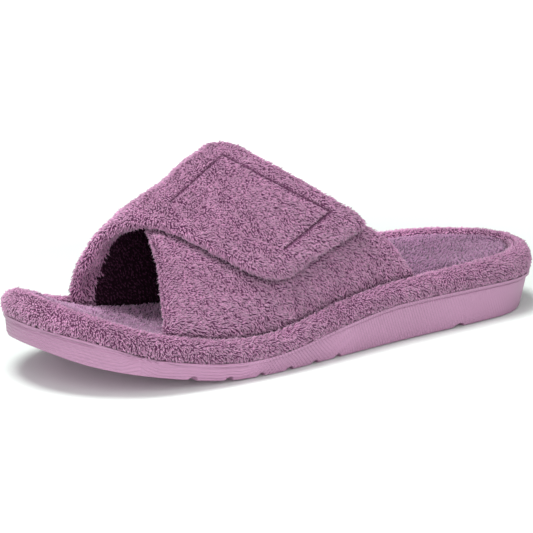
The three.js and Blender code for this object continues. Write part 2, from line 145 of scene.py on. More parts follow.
def attribute(tree, name):
    """A number that each point of the mesh carries."""
    return add_node(tree, "Attribute", {}, attribute_name=name).outputs["Fac"]


def own_place(tree):
    """Where a point lies in the slipper's frame."""
    return add_node(tree, "TexCoord", {}).outputs["Object"]


def noise(tree, scale, detail):
    values = {"Vector": own_place(tree), "Scale": scale, "Detail": detail}
    return add_node(tree, "TexNoise", values).outputs["Fac"]


def rescaled(tree, value, source=(0, 1), target=(0, 1), clamp=True):
    """A value carried over from one range to another."""
    values = {"Value": value, "From Min": source[0], "From Max": source[1]}
    values.update({"To Min": target[0], "To Max": target[1]})
    return add_node(tree, "MapRange", values, clamp=clamp).outputs["Result"]


def mixed(tree, share, first, second):
    values = {"Factor": share, "A": first, "B": second}
    return add_node(tree, "Mix", values, data_type="RGBA").outputs["Result"]


def brightened(tree, colour, factor):
    values = {"Color": colour, "Value": factor}
    return add_node(tree, "HueSaturation", values).outputs["Color"]


def curve(tree, value, stops):
    """A curve drawn with greys. Each stop: its place and its height, both from 0 to 1."""
    ramp = add_node(tree, "ValToRGB", {"Fac": value})
    marks = ramp.color_ramp.elements
    for spot, _ in stops[1:-1]:
        marks.new(spot)
    for mark, (_, grey) in zip(marks, stops):
        mark.color = (grey, grey, grey, 1)
    return ramp.outputs["Color"]


# %% [markdown]
# ## Floor and light
#
# The slipper stands on a white sweep. In such photographs the paper is lit a little more than
# the goods, so that it shows as pure white and only the contact shadow is left. Here the paper
# glows more and more away from the slipper. It is a touch green, against the pink light that
# the slipper throws on it. A soft light over the toe makes the shadow, two weaker and larger
# ones fill the near side and the toe, and a pale world lights the rest evenly.

# %% Paper floor
PAPER = (0.85, 0.93, 0.88, 1)
GLOW_DISTANCES = (0.2, 0.7)
GLOW = (0.02, 0.9)
FLOOR_HALF = 6
WHITE = (1, 1, 1, 1)

paper = new_material("white_paper")
tree = paper.node_tree
from_middle = add_node(tree, "VectorMath", {0: own_place(tree)}, operation="LENGTH").outputs["Value"]
feed(tree, principled(paper).inputs, {
    "Base Color": PAPER,
    "Roughness": 0.9,
    "Emission Color": WHITE,
    "Emission Strength": rescaled(tree, from_middle, GLOW_DISTANCES, GLOW),
})

ground = bmesh.new()
bmesh.ops.create_grid(ground, x_segments=1, y_segments=1, size=FLOOR_HALF)
floor_mesh = bpy.data.meshes.new("floor")
ground.to_mesh(floor_mesh)
ground.free()
floor = bpy.data.objects.new("floor", floor_mesh)
floor_mesh.materials.append(paper)
bpy.context.collection.objects.link(floor)
floor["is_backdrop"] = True
print("floor in metres:", 2 * FLOOR_HALF)


# %% Softboxes and world
WORLD_STRENGTH = 0.22


def softbox(name, place, size, power):
    """A square area light at a place, turned to the slipper."""
    light = bpy.data.lights.new(name, "AREA")
    light.size = size
    light.energy = power
    holder = bpy.data.objects.new(name, light)
    holder.location = place
    holder.rotation_euler = (VIEW_TARGET - Vector(place)).to_track_quat("-Z", "Y").to_euler()
    bpy.context.collection.objects.link(holder)
    print(name, "watts:", power)


softbox("overhead", (0.06, -0.36, 1.3), size=0.5, power=15)
softbox("side_fill", (1.15, -0.3, 0.8), size=1.5, power=9)
softbox("toe_fill", (0.6, -1.15, 0.7), size=1.3, power=6.5)

world = bpy.data.worlds.new("studio")
world.use_nodes = True
sky = world.node_tree.nodes["Background"].inputs
feed(world.node_tree, sky, {"Color": WHITE, "Strength": WORLD_STRENGTH})
bpy.context.scene.world = world
bpy.context.scene.view_settings.view_transform = "Standard"

# %% [markdown]
# ## Smooth shells from faceted solids
#
# A solid arrives as loose triangles. A copy is welded, its triangles are joined back into
# quads, and a Subdivision Surface rounds them. Catmull-Clark subdivision works best on quads,
# because each quad splits into four even ones. The modifiers are then applied, since the pile
# grows on the finished surface. Each shell stands for its solid, which is hidden.

# %% Welding, placing and rounding
WELD = 0.002 * MM
FLAT_ENOUGH = radians(40)
SQUARE_ENOUGH = radians(120)


def welded(node):
    """A bmesh copy of a solid, with shared vertices, and quads where two triangles lie flat."""
    shell = bmesh.new()
    shell.from_mesh(frame["nodes"][node].data)
    bmesh.ops.remove_doubles(shell, verts=shell.verts, dist=WELD)
    bmesh.ops.join_triangles(
        shell, faces=shell.faces,
        angle_face_threshold=FLAT_ENOUGH, angle_shape_threshold=SQUARE_ENOUGH,
    )
    return shell


def place(name, shell):
    """Makes an object from a bmesh, in the slipper's own frame."""
    mesh = bpy.data.meshes.new(name)
    shell.to_mesh(mesh)
    shell.free()
    piece = bpy.data.objects.new(name, mesh)
    bpy.context.collection.objects.link(piece)
    return piece


def settle(piece):
    """Applies a piece's modifiers, and smooths its shading."""
    graph = bpy.context.evaluated_depsgraph_get()
    mesh = bpy.data.meshes.new_from_object(piece.evaluated_get(graph))
    piece.modifiers.clear()
    piece.data = mesh
    mesh.polygons.foreach_set("use_smooth", [True] * len(mesh.polygons))
    print(piece.name, "faces:", len(mesh.polygons))


def subdivide(piece):
    smooth = piece.modifiers.new("rounding", "SUBSURF")
    smooth.levels = smooth.render_levels = 1
    settle(piece)


# %% The three padded parts
upper = place("upper_padded", welded("upper"))
footbed = place("footbed_padded", welded("footbed"))
insole = place("insole_padded", welded("insole"))
for piece, node, fill in ((upper, "upper", 0.9), (footbed, "footbed", 0.9), (insole, "insole", 0.7)):
    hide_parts(node)
    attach(piece, "root")
for piece in (upper, footbed):
    subdivide(piece)

# %% [markdown]
# ## The moulded outsole
#
# Rubber that comes out of a mould has crisp edges, but none is truly sharp. Subdivision would
# melt the grooves and the raised band, so the outsole is bevelled instead. Edges that turn by
# more than 30 degrees are marked sharp and get a small round of three faces, and hardened
# normals keep the large faces looking flat beside them.

# %% Outsole
SHARP = radians(30)
MOULD_ROUND = 0.45 * MM

cast = welded("outsole")
for edge in cast.edges:
    edge.smooth = edge.calc_face_angle(0) < SHARP
for face in cast.faces:
    face.smooth = True
outsole = place("outsole_moulded", cast)
rounding = outsole.modifiers.new("mould_round", "BEVEL")
rounding.width = MOULD_ROUND
rounding.segments = 3
rounding.limit_method = "ANGLE"
rounding.angle_limit = SHARP
rounding.harden_normals = True
settle(outsole)
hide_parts("outsole")
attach(outsole, "root")

# %% [markdown]
# ## Measuring the shells
#
# The steps that follow ask three things over and over: where a mesh's points are, how far they
# lie from a line, and whether a ray from a point meets another part. Arrays answer the first
# two quickly, and a tree of all the faces answers the third.

# %% Points, distances and rays
AT_ONCE = 4096


def points_of(mesh, field="co"):
    values = np.empty(len(mesh.vertices) * 3)
    mesh.vertices.foreach_get(field, values)
    return values.reshape(-1, 3)


def move_to(piece, points):
    piece.data.vertices.foreach_set("co", points.ravel())
    piece.data.update()


def store(mesh, name, values):
    """Keeps one number for each point, under a name that a shader can read."""
    mesh.attributes.new(name, "FLOAT", "POINT").data.foreach_set("value", values)


def distance_to(points, line):
    """How far each point lies from the nearest of a line's points."""
    found = np.empty(len(points))
    for start in range(0, len(points), AT_ONCE):
        gaps = points[start:start + AT_ONCE, None] - line[None]
        found[start:start + AT_ONCE] = np.linalg.norm(gaps, axis=2).min(axis=1)
    return found


def one_tree(pieces):
    """All the faces of some pieces in one tree, for rays."""
    points, faces = [], []
    for piece in pieces:
        first = len(points)
        points += [vertex.co.copy() for vertex in piece.data.vertices]
        faces += [[first + k for k in face.vertices] for face in piece.data.polygons]
    return BVHTree.FromPolygons(points, faces)


def blocked(tree, places, directions, reach):
    """True where a ray from a place meets the tree's faces within that reach."""
    rays = zip(places, directions)
    return np.array([tree.ray_cast(Vector(p), Vector(d), reach)[0] is not None for p, d in rays])


# %% [markdown]
# ## The seam round the hook-and-loop pad
#
# A box seam holds the pad under the flap. The photograph shows its four corners. Lines of sight
# go from the camera through a few points of each side, and the seam is where they meet the
# solid upper, to a tenth of a millimetre. It is then spread out evenly and dropped onto the
# shell. Its last side is covered by longer pile, so it is kept apart from the open three.

# %% Lines of sight
SEAM_CORNER_PIXELS = [(169.5, 202.3), (222.5, 154.5), (331, 211), (284, 248.5)]
SIGHTS_ON_SIDES = (4, 6, 4, 6)
SEAM_STEP = 0.8 * MM


def sighted(pixel, tree):
    """Where the line of sight through a pixel of the photograph meets a solid, in mm."""
    right, down = pixel - IMAGE_SIZE / 2
    way = across * right - up * down - back * FOCAL_PIXELS
    return np.round(np.array(tree.ray_cast(eye, way.normalized())[0]) / MM, 1)


def closed_path(places, step):
    """Evenly spread points along straight stretches between places, back to the first."""
    corners = np.array(places + places[:1]) * MM
    points = []
    for start, end in zip(corners, corners[1:]):
        count = max(1, round(np.linalg.norm(end - start) / step))
        points += [start + (end - start) * k / count for k in range(count)]
    return np.array(points)


def dropped(points, piece):
    """The nearest places on a piece."""
    tree = BVHTree.FromObject(piece, bpy.context.evaluated_depsgraph_get())
    return np.array([tree.find_nearest(Vector(p))[0] for p in points])


# %% The seam on the shell
solid_upper = one_tree([frame["nodes"]["upper"]])
pixels = np.array(SEAM_CORNER_PIXELS + SEAM_CORNER_PIXELS[:1])
seam_places = []
for start, end, count in zip(pixels, pixels[1:], SIGHTS_ON_SIDES):
    seam_places += [sighted(start + (end - start) * k / count, solid_upper) for k in range(count)]
seam = dropped(closed_path(seam_places, SEAM_STEP), upper)
last_corner = seam_places[sum(SIGHTS_ON_SIDES[:3])] * MM
turning = np.linalg.norm(seam - last_corner, axis=1).argmin()
open_seam, covered_seam = seam[:turning], seam[turning:]
print("seam length in mm:", round(len(seam) * SEAM_STEP / MM))

# %% [markdown]
# ## Foam padding
#
# The upper, the footbed and the insole are cloth over foam, and foam presses its cover outwards
# wherever nothing holds it. A short cloth simulation does the same: gravity is off, a little
# pressure acts from inside, and the points that touch another part, or lie on the seam, are
# held. Twenty frames are enough. Each point may then move only by a small cap, so that the
# slipper keeps its size, and one more subdivision smooths the result.

# %% Cloth under pressure
PUFF_FRAMES = 20
PUFF_PRESSURE = 4
PUFF_CAP = 0.7 * MM


def puff(piece, held):
    before = points_of(piece.data)
    pins = piece.vertex_groups.new(name="held")
    pins.add([int(k) for k in np.flatnonzero(held)], 1, "REPLACE")
    cloth = piece.modifiers.new("foam", "CLOTH")
    cloth.settings.use_pressure = True
    cloth.settings.uniform_pressure_force = PUFF_PRESSURE
    cloth.settings.vertex_group_mass = "held"
    cloth.settings.effector_weights.gravity = 0
    cloth.point_cache.frame_start = 1
    cloth.point_cache.frame_end = PUFF_FRAMES
    for number in range(1, PUFF_FRAMES + 1):
        bpy.context.scene.frame_set(number)
    settle(piece)
    bpy.context.scene.frame_set(1)
    step = points_of(piece.data) - before
    far = np.linalg.norm(step, axis=1)[:, None]
    step *= np.minimum(1, PUFF_CAP / np.maximum(far, TINY))
    move_to(piece, before + step)
    piece.vertex_groups.clear()
    mean = far.clip(0, PUFF_CAP).mean() / MM
    print(piece.name, "held:", round(held.mean(), 2), "puffed by mm:", round(mean, 2))


# %% What is held, and the puffing
RAY_START = 0.05 * MM
HELD_BY_SEAM = 1.6 * MM
TOUCHES = ((upper, 1.2 * MM), (footbed, 0.6 * MM), (insole, 0.6 * MM))

everything = one_tree([upper, footbed, insole, outsole])
for piece, reach in TOUCHES:
    skin = points_of(piece.data)
    outwards = points_of(piece.data, "normal")
    held = blocked(everything, skin + outwards * RAY_START, outwards, reach)
    if piece is upper:
        held |= distance_to(skin, seam) < HELD_BY_SEAM
    puff(piece, held)
    subdivide(piece)

# %% [markdown]
# ## The seam's trough and thread
#
# Thread pulls the terry down into a narrow trough, which is pressed in here by moving the
# shell's points inwards along the line. The thread lies at its bottom. It is a row of short
# rounded stitches, small enough that a few faces each are plenty, and only glimpses of it show
# between the tufts.

# %% Trough
SEAM_SINK = 0.5 * MM
SEAM_REACH = 0.6 * MM

skin = points_of(upper.data)
sink = SEAM_SINK * np.exp(-((distance_to(skin, seam) / SEAM_REACH) ** 2))
move_to(upper, skin - points_of(upper.data, "normal") * sink[:, None])
print("trough in mm:", round(sink.max() / MM, 2))

# %% Thread
STITCH = 3.2 * MM
STITCH_SHARE = 0.44
THREAD = 0.28 * MM


def stitches(name, line):
    """Short rounded stitches, end to end along a closed line of evenly spread points."""
    count = round(len(line) * SEAM_STEP / STITCH)
    marks = [Vector(line[round(k * len(line) / count) % len(line)]) for k in range(count)]
    thread = bmesh.new()
    for start, end in zip(marks, marks[1:] + marks[:1]):
        run = end - start
        turned = run.to_track_quat("X", "Z").to_matrix().to_4x4()
        shape = Matrix.Diagonal((run.length * STITCH_SHARE, THREAD, THREAD, 1))
        bmesh.ops.create_uvsphere(
            thread, u_segments=8, v_segments=6, radius=1,
            matrix=Matrix.Translation((start + end) / 2) @ turned @ shape,
        )
    for face in thread.faces:
        face.smooth = True
    piece = place(name, thread)
    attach(piece, "root")
    print(name, "stitches:", count)
    return piece


seam_thread = stitches("seam_thread", dropped(seam, upper))

# %% [markdown]
# ## Terry pile
#
# Terry is woven with loops that stand up from the cloth and curl over. At this distance the
# eye sees each loop as a short light fleck beside a dark gap, and a fuzzy outline. Bump alone
# gives the flecks but not the outline, so the loops are real: short curled tufts, all joined
# into a few meshes from arrays. Smooth noise turns neighbours the same way, which gives the
# combed and swirled look of washed terry.

# %% Noise that is smooth in space
SEED = 7
LATTICE_SIZE = 32

rng = np.random.default_rng(SEED)
LATTICE = rng.random((LATTICE_SIZE,) * 3)


def drift(points, size):
    """Noise between 0 and 1 that changes smoothly over about that size, in metres."""
    cell = points / size
    low = np.floor(cell).astype(int)
    share = cell - low
    share = share * share * (3 - 2 * share)
    total = np.zeros(len(points))
    for corner in np.ndindex(2, 2, 2):
        near = np.where(corner, share, 1 - share).prod(axis=1)
        total += near * LATTICE[tuple(((low + corner) % LATTICE_SIZE).T)]
    return total


print("noise lattice:", LATTICE.shape)


# %% Places on a shell
CROWD = 6


def triangles(mesh):
    """Corner points and corner normals of a mesh's triangles, as arrays."""
    mesh.calc_loop_triangles()
    corners = np.empty(len(mesh.loop_triangles) * 3, dtype=int)
    mesh.loop_triangles.foreach_get("vertices", corners)
    corners = corners.reshape(-1, 3)
    return points_of(mesh)[corners], points_of(mesh, "normal")[corners]


def sow(mesh, gap, wanted):
    """Places about that gap apart, in mm, over the faces that are wanted, with their normals.

    Many more places than needed are scattered, and each small cube of space keeps only one.
    """
    corners, normals = triangles(mesh)
    sides = corners[:, 1:] - corners[:, :1]
    area = np.linalg.norm(np.cross(sides[:, 0], sides[:, 1]), axis=1) / 2
    area = area * wanted(corners.mean(axis=1), normals.mean(axis=1))
    count = int(CROWD * area.sum() / (gap * MM) ** 2)
    chosen = rng.choice(len(area), count, p=area / area.sum())
    weights = rng.dirichlet((1, 1, 1), count)[:, :, None]
    found = (corners[chosen] * weights).sum(axis=1)
    out = (normals[chosen] * weights).sum(axis=1)
    cubes = np.floor(found / (gap * MM)).astype(int)
    kept = np.unique(cubes, axis=0, return_index=True)[1]
    kept.sort()
    return found[kept], out[kept] / np.linalg.norm(out[kept], axis=1)[:, None]


# %% [markdown]
# ## Creases
#
# Where two soft parts meet, or cloth folds over itself, pile is pressed flat and little light
# gets in. A fan of short rays round each place tells how closed in it is. The number makes the
# tufts shorter there, and paints the yarn darker as shade. The outsole is left out of it: just
# above the rubber's lip, the photograph shows pile as long and as light as elsewhere.

# %% How closed in a place is
CREASE_REACH = 3.2 * MM
CREASE_TILT = radians(52)
CREASE_RAYS = 5
CREASE_LIFT = 0.4 * MM
SLANTED = (0.36, 0.48, 0.8)

soft_parts = one_tree([upper, footbed, insole])


def crease(places, normals):
    """How closed in a place is, from 0 in the open to 1 in a fold, by a fan of short rays."""
    side = np.cross(normals, SLANTED)
    side /= np.linalg.norm(side, axis=1)[:, None] + TINY
    other = np.cross(normals, side)
    lifted = places + normals * CREASE_LIFT
    total = np.zeros(len(places))
    for k in range(CREASE_RAYS):
        angle = 2 * pi * k / CREASE_RAYS
        ring = cos(angle) * side + sin(angle) * other
        fan = cos(CREASE_TILT) * normals + sin(CREASE_TILT) * ring
        total += blocked(soft_parts, lifted, fan, CREASE_REACH)
    return total / CREASE_RAYS


# The shells carry the number too, and the yarn shader paints shade with it.
for shell in (upper, footbed, insole):
    folds = crease(points_of(shell.data), points_of(shell.data, "normal"))
    store(shell.data, "fold", folds)
    print(shell.name, "folded in:", round(folds.mean(), 3))

# %% [markdown]
# ## One tuft, many times
#
# A tuft is a three-sided spike of nine triangles whose spine bends over: two rings and a tip.
# An object for each would be far too slow, so one array holds the points of all of them, tuft
# by tuft. Each tuft leans towards a given direction, turned by a wide noise for the swirls and
# a narrow one for the curls, and every length, angle and thickness varies a little.

# %% How each tuft leans
SWIRL_SIZE = 22 * MM
CLUMP_SIZE = 3 * MM
TURN_SPREAD = 14


def leaning(places, normals, towards, swirl, curl):
    """The direction along the surface in which each tuft leans."""
    along = towards(places)
    along = along - (along * normals).sum(axis=1)[:, None] * normals
    along /= np.linalg.norm(along, axis=1)[:, None] + TINY
    side = np.cross(normals, along)
    wide = (drift(places, SWIRL_SIZE) - 0.5) * 2 * swirl
    near = (drift(places + 1, CLUMP_SIZE) - 0.5) * 2 * curl
    turn = np.radians(wide + near + rng.normal(0, TURN_SPREAD, len(places)))[:, None]
    return np.cos(turn) * along + np.sin(turn) * side


# %% Rings and tips
SIDES = 3
RINGS = 2
PER_TUFT = SIDES * RINGS + 1
ROOT_DEPTH = 0.2 * MM
FIRST_LEAN = (32, 13)
THEN_BEND = (42, 13)
LENGTHS = (0.6, 1.3)
THICKNESSES = (0.8, 1.2)


def tuft_points(places, normals, lean, length, radius, grow):
    """The rings and tips of all tufts, one row of points for each tuft."""
    count = len(places)
    run = length * MM * rng.uniform(*LENGTHS, count)[:, None] / RINGS * grow
    first = np.radians(rng.normal(*FIRST_LEAN, count))[:, None]
    bend = np.radians(rng.normal(*THEN_BEND, count))[:, None]
    thick = radius * MM * rng.uniform(*THICKNESSES, count)[:, None]
    beside = np.cross(normals, lean)
    spine = places - normals * ROOT_DEPTH
    points = []
    for ring in range(RINGS):
        angle = first + bend * ring
        heading = np.cos(angle) * normals + np.sin(angle) * lean
        flat = np.cos(angle) * lean - np.sin(angle) * normals
        for k in range(SIDES):
            around = 2 * pi * k / SIDES
            points.append(spine + thick * (cos(around) * beside + sin(around) * flat))
        spine = spine + heading * run
    points.append(spine)
    return np.stack(points, axis=1)


# %% Faces and meshes from arrays
def tuft_faces(count):
    """The triangles of one tuft, repeated for each."""
    pattern = []
    for ring in range(RINGS - 1):
        for k in range(SIDES):
            a = ring * SIDES + k
            b = ring * SIDES + (k + 1) % SIDES
            pattern += [(a, b, b + SIDES), (a, b + SIDES, a + SIDES)]
    last = (RINGS - 1) * SIDES
    pattern += [(last + k, last + (k + 1) % SIDES, PER_TUFT - 1) for k in range(SIDES)]
    firsts = np.arange(count)[:, None, None] * PER_TUFT
    return (np.array(pattern)[None] + firsts).reshape(-1, 3)


def mesh_from(name, points, faces):
    """A smooth mesh of triangles, straight from arrays."""
    mesh = bpy.data.meshes.new(name)
    mesh.vertices.add(points.size // 3)
    mesh.vertices.foreach_set("co", points.ravel())
    mesh.loops.add(faces.size)
    mesh.loops.foreach_set("vertex_index", faces.ravel())
    mesh.polygons.add(len(faces))
    mesh.polygons.foreach_set("loop_start", np.arange(len(faces)) * 3)
    mesh.polygons.foreach_set("use_smooth", np.ones(len(faces), dtype=bool))
    mesh.update(calc_edges=True)
    return mesh


print("triangles in a tuft:", len(tuft_faces(1)))

# %% A piece of pile
CLUMPS = (0.8, 0.4)
FOLD_SHORTENS = 0.5
# Painted light on the inner side of the upper, as a rise in the tufts' tone.
PAINTED_INNER_LIGHT = 0.8
INNER_LIGHT_FROM = 12
INNER_LIGHT_OVER = 12


def painted_inner_light(places):
    """Painted light: more and more towards the inner side of the upper."""
    return PAINTED_INNER_LIGHT * np.clip((-places[:, 0] / MM - INNER_LIGHT_FROM) / INNER_LIGHT_OVER, 0, 1)


def tufts(name, places, normals, folds, size, towards, length, radius, swirl=30, curl=65):
    """One piece of curled tufts, in mm, with the numbers that the yarn's shader reads."""
    lean = leaning(places, normals, towards, swirl, curl)
    clumps = CLUMPS[0] + CLUMPS[1] * drift(places + 2, CLUMP_SIZE)
    grow = (size * clumps * (1 - FOLD_SHORTENS * folds))[:, None]
    points = tuft_points(places, normals, lean, length, radius, grow)
    faces = tuft_faces(len(places))
    mesh = mesh_from(name, points, faces)
    heights = np.repeat(np.arange(RINGS) / RINGS, SIDES).tolist() + [1.0]
    store(mesh, "tip", np.tile(heights, len(places)))
    # The tone holds random differences between tufts, plus the painted light of the inner side.
    store(mesh, "tone_and_inner_light", np.repeat(rng.random(len(places)) + painted_inner_light(places), PER_TUFT))
    store(mesh, "fold", np.repeat(folds, PER_TUFT))
    piece = bpy.data.objects.new(name, mesh)
    bpy.context.collection.objects.link(piece)
    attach(piece, "root")
    print(name, "tufts:", len(places), "triangles:", len(faces))
    return piece


# %% [markdown]
# ## Where the pile grows, and which way it lies
#
# The outside of the wings is long terry, which turns in over their edges for the width of a
# finger's nail. Behind that the wings are lined with something shorter, in a near-black that is
# partly a darker cloth and partly painted shade inside the slipper. Washed terry lies down like
# grass: down the wings, on a slant over the pad, and back from the outer wing's front edge. Short
# functions of the place give both, so that no place has to be listed.

# %% Outside or inside of the wings
FOOT_AXIS = np.array([-5, 0, 28]) * MM
TURN_IN = 9 * MM
RAGGED = (0.7, 0.6)
EDGE_FACING = 0.85
SIDE_FACING = -0.35

skin = points_of(upper.data)
outwards = points_of(upper.data, "normal")
edge_points = skin[np.abs(outwards[:, 1]) > EDGE_FACING]
front_edges = skin[outwards[:, 1] < -EDGE_FACING]


def outward(places, normals):
    """1 where a surface faces away from the foot, and -1 where it faces the foot."""
    away = places - FOOT_AXIS
    away[:, 1] = 0
    away /= np.linalg.norm(away, axis=1)[:, None]
    return (away * normals).sum(axis=1)


def turned_in(places, normals):
    """True on the outside of the wings, and on the inside near their edges.

    The distance to an edge is measured straight through, so the flap's edge counts for the wing
    under it too, and leaves a few patches of terry on the lining behind the pad.
    """
    reach = TURN_IN * (RAGGED[0] + RAGGED[1] * drift(places, CLUMP_SIZE))
    near_edge = distance_to(places, edge_points) < reach
    return (outward(places, normals) > SIDE_FACING) | near_edge


print("points on the wings' edges:", len(edge_points))


# %% Which way the pile lies
NAP_REACH = 16 * MM
PAD_FADE = 5 * MM
PAD_WIDTH = 2.4
OUTER_FADE = 10 * MM
DOWN = np.array((0.1, 0.1, -1))
DOWN_AT_FRONT = np.array((0.3, 1.9, 0.2))
OVER_PAD = np.array((0.9, 0.45, -0.9))
OVER_PAD_AT_FRONT = np.array((0.6, 0.2, 0.5))
PAD_RINGS = (0.1, 0.4, 0.7, 1)

middle = seam.mean(axis=0)
pad_points = np.concatenate([middle + (seam[::2] - middle) * share for share in PAD_RINGS])
print("points over the pad:", len(pad_points))


def nap(places):
    """Down the wings, slanting over the pad, and back from the outer wing's front edge."""
    near = np.exp(-distance_to(places, front_edges) / NAP_REACH)[:, None]
    on_pad = np.clip(PAD_WIDTH - distance_to(places, pad_points) / PAD_FADE, 0, 1)[:, None]
    outer = np.clip(places[:, 0] / OUTER_FADE + 1, 0, 1)[:, None]
    down = DOWN + near * outer * DOWN_AT_FRONT
    slanting = OVER_PAD + near * OVER_PAD_AT_FRONT
    return down * (1 - on_pad) + slanting * on_pad


def level_nap(places):
    return np.broadcast_to(np.array((0.2, 0.4, -1)), places.shape)


def heel_nap(places):
    return np.broadcast_to(np.array((0, 1, 0)), places.shape)


# %% Growing pile on a shell
CLEARANCE = 1.6 * MM
CLEAR_START = 0.3 * MM
COVER = 0.6 * MM
SEAM_SHADE = 0.65 * MM
FULL_LENGTH_FROM = 1.7 * MM
SHORTEST = 0.36

everything = one_tree([upper, footbed, insole, outsole])


def grown(name, shell, gap, wanted, **shape):
    """Tufts over the wanted faces of a shell, except where another part lies against it."""
    found, out = sow(shell.data, gap, wanted)
    free = ~blocked(everything, found + out * CLEAR_START, out, CLEARANCE)
    found, out = found[free], out[free]
    from_seam = np.minimum(distance_to(found, open_seam), distance_to(found, covered_seam) + COVER)
    # Near the seam the tufts also get painted shade, for the trough that the thread pulls in.
    folds = np.maximum(crease(found, out), np.exp(-((from_seam / SEAM_SHADE) ** 2)))
    size = np.clip(from_seam / FULL_LENGTH_FROM, SHORTEST, 1)
    return tufts(name, found, out, folds, size, **shape)


# %% [markdown]
# ## The pile of each part
#
# The slipper's outer side is the one that is seen, so it has the densest pile. The upper's pile
# is split at the flap's top and at the ridge, and the footbed's along the middle, to keep each
# piece under 200,000 triangles. The insole's loops are shorter, thicker and turned every way, as
# on a towel.

# %% Pile of the upper
FLAP_TOP_X = 14 * MM
RIDGE_X = -10 * MM
TERRY = {"towards": nap, "length": 1.9, "radius": 0.25}

outer_pile = grown(
    "upper_pile_outer_side", upper, gap=0.68,
    wanted=lambda p, n: turned_in(p, n) & (p[:, 0] > FLAP_TOP_X), **TERRY,
)
top_pile = grown(
    "upper_pile_top", upper, gap=0.68,
    wanted=lambda p, n: turned_in(p, n) & (p[:, 0] <= FLAP_TOP_X) & (p[:, 0] > RIDGE_X), **TERRY,
)
inner_pile = grown(
    "upper_pile_inner_side", upper, gap=0.80,
    wanted=lambda p, n: turned_in(p, n) & (p[:, 0] <= RIDGE_X), **TERRY,
)
lining_pile = grown(
    "upper_lining_pile", upper, gap=1.4,
    wanted=lambda p, n: ~turned_in(p, n),
    towards=level_nap, length=1.4, radius=0.34,
)

# %% Pile of the footbed and the insole
UNDERSIDE = -0.8
INSOLE_TOP = 0.3
LOOP = {"towards": level_nap, "length": 1.6, "radius": 0.26, "swirl": 60, "curl": 60}

rim_outer_pile = grown(
    "footbed_pile_outer_side", footbed, gap=0.72,
    wanted=lambda p, n: (n[:, 2] > UNDERSIDE) & (p[:, 0] > 0), **LOOP,
)
rim_inner_pile = grown(
    "footbed_pile_inner_side", footbed, gap=0.80,
    wanted=lambda p, n: (n[:, 2] > UNDERSIDE) & (p[:, 0] <= 0), **LOOP,
)
insole_pile = grown(
    "insole_pile", insole, gap=1.0,
    wanted=lambda p, n: n[:, 2] > INSOLE_TOP,
    towards=heel_nap, length=1.7, radius=0.30, swirl=120, curl=90,
)

# %% [markdown]
# ## Yarn colour
#
# Every terry part shares one effect: yarn is painted darker at its root, where little light
# arrives, and paler at its tip, each tuft differs a little from the next, soft patches come from
# wear and washing, folds and the seam get painted shade, and the upper's inner side gets painted
# light. That is a shader node group with named inputs, built once. It reads the numbers that the
# tufts and the shells carry.

# %% The yarn group
PATCH_SCALE = 60
PATCH_DETAIL = 2
TONES = (0.75, 1.25)


def yarn_group():
    group = bpy.data.node_groups.new("yarn", "ShaderNodeTree")
    for name in ("Root", "Middle", "Tip"):
        group.interface.new_socket(name, in_out="INPUT", socket_type="NodeSocketColor")
    for name in ("Patches", "Painted Fold Shade"):
        group.interface.new_socket(name, in_out="INPUT", socket_type="NodeSocketFloat")
    group.interface.new_socket("Color", in_out="OUTPUT", socket_type="NodeSocketColor")
    given = group.nodes.new("NodeGroupInput").outputs
    result = group.nodes.new("NodeGroupOutput").inputs

    height = attribute(group, "tip")
    lower = mixed(group, rescaled(group, height, (0, 0.5)), given["Root"], given["Middle"])
    colour = mixed(group, rescaled(group, height, (0.5, 1)), lower, given["Tip"])

    cloud = computed(group, "SUBTRACT", noise(group, PATCH_SCALE, PATCH_DETAIL), 0.5)
    patches = computed(group, "MULTIPLY", cloud, given["Patches"])
    # The tone holds random differences between tufts, plus the painted light of the inner side.
    tone_and_inner_light = rescaled(group, attribute(group, "tone_and_inner_light"), target=TONES, clamp=False)
    # Painted shade in folds and along the seam.
    shade = rescaled(group, attribute(group, "fold"), target=(1, given["Painted Fold Shade"]))
    light = computed(group, "MULTIPLY", computed(group, "ADD", tone_and_inner_light, patches), shade)
    feed(group, result, {"Color": brightened(group, colour, light)})
    print("yarn group nodes:", len(group.nodes))
    return group


# %% Terry, plush, lining and thread
PATCHES = 0.35
YARN = yarn_group()


def terry(name, root, middle, tip, sheen, painted_fold_shade=0.3, specular=0.2):
    material = new_material(name)
    tree = material.node_tree
    colours = {"Root": (*root, 1), "Middle": (*middle, 1), "Tip": (*tip, 1)}
    values = {**colours, "Patches": PATCHES, "Painted Fold Shade": painted_fold_shade}
    yarn = add_node(tree, "Group", values, node_tree=YARN)
    feed(tree, principled(material).inputs, {
        "Base Color": yarn.outputs["Color"],
        "Roughness": 0.85,
        "Specular IOR Level": specular,
        "Sheen Weight": sheen,
        "Sheen Roughness": 0.4,
        "Sheen Tint": (0.86, 0.84, 0.88, 1),
    })
    print("material:", name)
    return material


mauve = terry(
    "mauve_terry", root=(0.15, 0.045, 0.115), middle=(0.59, 0.28, 0.475), tip=(0.61, 0.40, 0.54),
    sheen=0.4,
)
plush = terry(
    "grey_plush", root=(0.13, 0.06, 0.12), middle=(0.43, 0.225, 0.38), tip=(0.43, 0.28, 0.41),
    sheen=0.3, painted_fold_shade=0.6,
)
# The lining's near-black is partly a darker cloth and partly painted shade inside the slipper.
lining = terry(
    "lining", root=(0.03, 0.009, 0.021), middle=(0.085, 0.027, 0.062), tip=(0.10, 0.036, 0.076),
    sheen=0.02, specular=0.05,
)
thread = terry(
    "plum_thread", root=(0.10, 0.035, 0.075), middle=(0.12, 0.04, 0.09), tip=(0.14, 0.05, 0.10),
    sheen=0.1,
)

# %% Dressing the soft parts
def dress(piece, material):
    piece.data.materials.clear()
    piece.data.materials.append(material)


